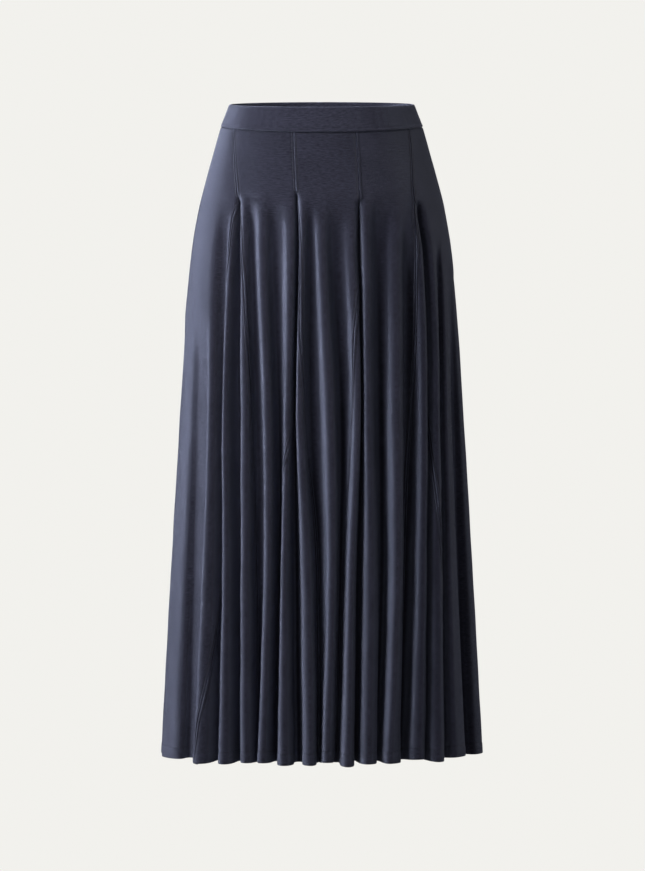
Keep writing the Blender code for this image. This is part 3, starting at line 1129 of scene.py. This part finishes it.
@dataclass
class Waistband:
    """Half of the pull-on waistband: one strip folded over the elastic at its top edge."""

    side: Side
    finish: KnitFinish = BAND_KNIT
    columns: int = 120
    wall: float = 0.9 * MM
    gather: float = 0.12 * MM
    gathers: float = 61.0
    drift: float = 0.8
    drifts: float = 9.0
    inside: float = -1.0

    def build(self) -> bpy.types.Object:
        """Make the piece, dress it and report it to the frame."""
        sign = 1 if self.side is Side.BACK else -1
        turn = np.radians(np.linspace(-90, 90, self.columns + 1))
        points, marks = [], []
        for station in BAND_SECTION:
            z = station.along * MM
            half_width, depth = outline("half_width", z), outline(self.side.value, z)
            across, along = np.sin(turn), sign * np.cos(turn)
            outward = unit(np.stack([across / half_width, along / depth, 0 * turn], axis=-1))
            high = z + side_lift(across, z)
            spot = np.stack([half_width * across, depth * along, high], axis=-1)
            ripple = np.sin(turn * self.gathers + self.drift * np.sin(turn * self.drifts))
            gather = self.gather * ripple * (station.off > self.inside)
            points.append(spot + outward * (station.off * MM + SOLID_WALL / 2 + gather)[:, None])
            # Each row keeps its painted shade, which darkens the colour in the band's grooves.
            marks.append(np.full(turn.shape, station.painted_shade))
        grid = np.array(points)[::-1]
        u = run_of(grid, 1)
        v = run_of(grid[:, [self.columns // 2]], 0)
        cloth = Cloth(grid, np.stack([u, v + 0 * u], axis=-1), np.array(marks)[::-1])
        piece = cloth.build("cloth_waistband_" + self.side.value, self.wall, self.side, self.finish)
        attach(piece, "root")
        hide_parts("waistband_" + self.side.value)
        LOG.info("%s: flat %.3f x %.3f m", piece.name, u[:, -1].max(), v.max())
        return piece


@dataclass
class Skirt:
    """The whole garment: its waistband, gores and godets, front and back."""

    def build(self) -> None:
        """Make every piece."""
        for side in Side:
            Waistband(side).build()
            half = side.value
            for name, first, last in (
                (f"gore_side_{half}_right", "right_side", "right_outer_a"),
                (f"gore_{half}_right", "right_outer_b", "right_inner_a"),
                (f"gore_{half}_centre", "right_inner_b", "left_inner_a"),
                (f"gore_{half}_left", "left_inner_b", "left_outer_a"),
                (f"gore_side_{half}_left", "left_outer_b", "left_side"),
            ):
                Panel(name, first, last, side, GORE_KNIT).build()
            for place in ("right_outer", "right_inner", "left_inner", "left_outer"):
                name = f"godet_{half}_{place}"
                Panel(name, place + "_a", place + "_b", side, GODET_KNIT, is_godet=True).build()


@dataclass(frozen=True)
class SoftLight:
    """An area light, placed round the skirt and aimed at its middle."""

    name: str
    azimuth: float
    elevation: float
    distance: float
    width: float
    height: float
    power: float

    def build(self, target: Vector) -> None:
        """Add the light."""
        data = bpy.data.lights.new(self.name, "AREA")
        data.shape = "RECTANGLE"
        data.size = self.width
        data.size_y = self.height
        data.energy = self.power
        lamp = bpy.data.objects.new(self.name, data)
        a, e = math.radians(self.azimuth), math.radians(self.elevation)
        towards = Vector((math.sin(a) * math.cos(e), -math.cos(a) * math.cos(e), math.sin(e)))
        lamp.location = target + towards * self.distance
        lamp.rotation_mode = "QUATERNION"
        lamp.rotation_quaternion = towards.to_track_quat("Z", "Y")
        bpy.context.scene.collection.objects.link(lamp)


LIGHTS = (
    SoftLight("key", -62, 44, 1.9, 0.6, 0.9, 23),
    SoftLight("front_left", -36, 20, 2.6, 0.7, 1.1, 28),
    SoftLight("low_front", 0, -14, 2.4, 1.0, 0.6, 1.5),
    SoftLight("right_fill", 72, 16, 3.0, 1.6, 2.0, 6.5),
    SoftLight("right_edge", 118, 16, 3.0, 0.6, 1.8, 30),
    SoftLight("back_fill", 180, 24, 4.0, 2.0, 2.0, 110),
)


@dataclass
class Studio:
    """Pale floor and surroundings, soft light from the upper left, and the camera."""

    pale: tuple[float, float, float] = (0.887, 0.880, 0.847)
    ambient: float = 0.085
    floor_z: float = -1.25
    floor_radius: float = 30.0
    floor_segments: int = 64
    lit_z: float = -0.40
    camera_distance: float = 10.0
    camera_azimuth: float = -3.2
    camera_height: float = 0.35
    clip: tuple[float, float] = (0.1, 100.0)
    sensor: float = 36.0
    pixel: float = 1.3925 * MM
    picture: tuple[int, int] = (645, 871)
    origin_pixel: tuple[float, float] = (321.8, 117.1)

    def pale_shader(self, tree: bpy.types.NodeTree, output: bpy.types.Node, kind: str) -> None:
        """Show one pale colour to the camera and give the object a dimmer light.

        Args:
            tree: The nodes of the world or of the floor.
            output: Their output node.
            kind: The shader node's type. On the floor, its underside lets the view through.
        """
        pale = (*self.pale, 1.0)
        bright = add_node(tree, kind, {"Color": pale})
        dim = add_node(tree, kind, {"Color": pale, "Strength": self.ambient})
        rays = add_node(tree, "LightPath")
        shares = {"Fac": rays.outputs["Is Camera Ray"], 1: dim.outputs[0], 2: bright.outputs[0]}
        mix = add_node(tree, "MixShader", shares)
        if kind == "Emission":
            clear = add_node(tree, "BsdfTransparent")
            place = add_node(tree, "NewGeometry")
            shares = {"Fac": place.outputs["Backfacing"], 1: mix.outputs[0], 2: clear.outputs[0]}
            mix = add_node(tree, "MixShader", shares)
        feed(output, {"Surface": mix.outputs[0]})

    def build(self) -> None:
        """Make the surroundings, the floor, the lights and the camera."""
        world = bpy.data.worlds.new("pale_studio")
        world.use_nodes = True
        world.node_tree.nodes.clear()
        self.pale_shader(world.node_tree, add_node(world.node_tree, "OutputWorld"), "Background")
        bpy.context.scene.world = world
        bm = bmesh.new()
        segments, radius = self.floor_segments, self.floor_radius
        bmesh.ops.create_circle(bm, cap_ends=True, segments=segments, radius=radius)
        bmesh.ops.translate(bm, verts=bm.verts, vec=(0, 0, self.floor_z))
        material = bpy.data.materials.new("pale_floor")
        material.use_nodes = True
        material.node_tree.nodes.clear()
        out = add_node(material.node_tree, "OutputMaterial")
        self.pale_shader(material.node_tree, out, "Emission")
        floor = add_object("floor", bm, material)
        for light in LIGHTS:
            light.build(Vector((0, 0, self.lit_z)))
        self.add_camera()
        bpy.context.scene.view_settings.view_transform = "Standard"

    def add_camera(self) -> None:
        """Stand the camera where the photograph was taken from."""
        data = bpy.data.cameras.new("camera")
        data.sensor_width = self.sensor
        drop = (self.picture[1] / 2 - self.origin_pixel[1]) * self.pixel
        aside = (self.picture[0] / 2 - self.origin_pixel[0]) * self.pixel
        a = math.radians(self.camera_azimuth)
        right = Vector((math.cos(a), math.sin(a), 0))
        eye = Vector((math.sin(a), -math.cos(a), 0)) * self.camera_distance
        eye.z = self.camera_height
        aim = Vector((0, 0, -drop)) + right * aside
        data.lens = data.sensor_width * (aim - eye).length / (self.picture[1] * self.pixel)
        data.clip_start, data.clip_end = self.clip
        camera = bpy.data.objects.new("camera", data)
        camera.location = eye
        camera.rotation_mode = "QUATERNION"
        camera.rotation_quaternion = (aim - eye).to_track_quat("-Z", "Y")
        bpy.context.scene.collection.objects.link(camera)
        bpy.context.scene.camera = camera


def main() -> None:
    """Build the studio and the skirt."""
    logging.basicConfig(level=logging.INFO, format="%(message)s")
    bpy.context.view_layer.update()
    Studio().build()
    Skirt().build()


if __name__ == "__main__":
    main()
